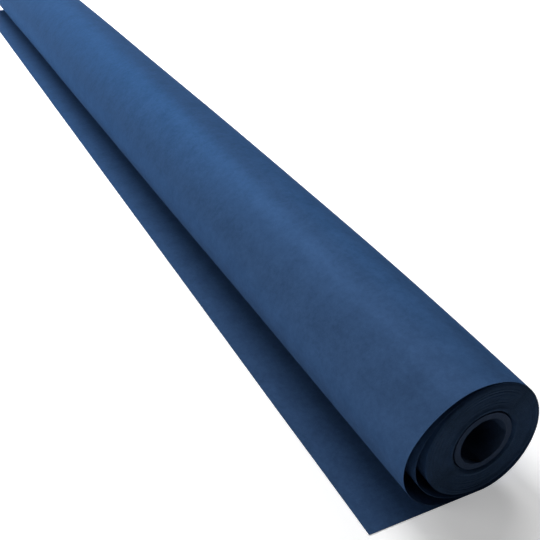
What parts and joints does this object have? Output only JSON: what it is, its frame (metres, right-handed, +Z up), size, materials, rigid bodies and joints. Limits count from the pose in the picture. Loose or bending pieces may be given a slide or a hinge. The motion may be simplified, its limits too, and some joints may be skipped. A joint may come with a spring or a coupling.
{
  "type": "backdrop paper roll",
  "caption": "Roll of dark blue studio background paper on a hollow board core, lying down with its free end laid out flat and its last turns loose.",
  "frame": {"origin": "centre of the footprint, on the surface that the laid end of the sheet rests on", "axes": "+X along the roll towards its right end, +Y from the free edge towards the roll, +Z up"},
  "size_m": [1.35, 0.1195, 0.0892],
  "materials": {
    "paper": "matt, dyed right through, fine grain",
    "core_board": "matt spiral-wound board in shades of the paper's blue",
    "start_tape": "creped masking tape"
  },
  "bodies": {
    "laid_sheet": {"laid_sheet": "paper"},
    "loose_turns": {"outer_loose_turn": "paper", "inner_loose_turn": "paper"},
    "roll": {"wound_pack": "paper", "core_inner_liner": "core_board", "core_board_plies": "core_board", "core_outer_wrap": "core_board", "start_tape_left": "start_tape", "start_tape_middle": "start_tape", "start_tape_right": "start_tape"}
  },
  "joints": [
    {"name": "roll_travel", "type": "slide", "parent": "laid_sheet", "child": "loose_turns", "axis": [0, 1, 0], "range_m": [-0.03, 1]},
    {"name": "roll_spin", "type": "hinge", "parent": "loose_turns", "child": "roll", "pos_m": [0, 0.0146, 0.041], "axis": [-1, 0, 0], "range_deg": [-60, 1440]}
  ],
  "couplings": [
    {"joint": "roll_spin", "follows": "roll_travel", "rad_per_m": 24.45}
  ]
}
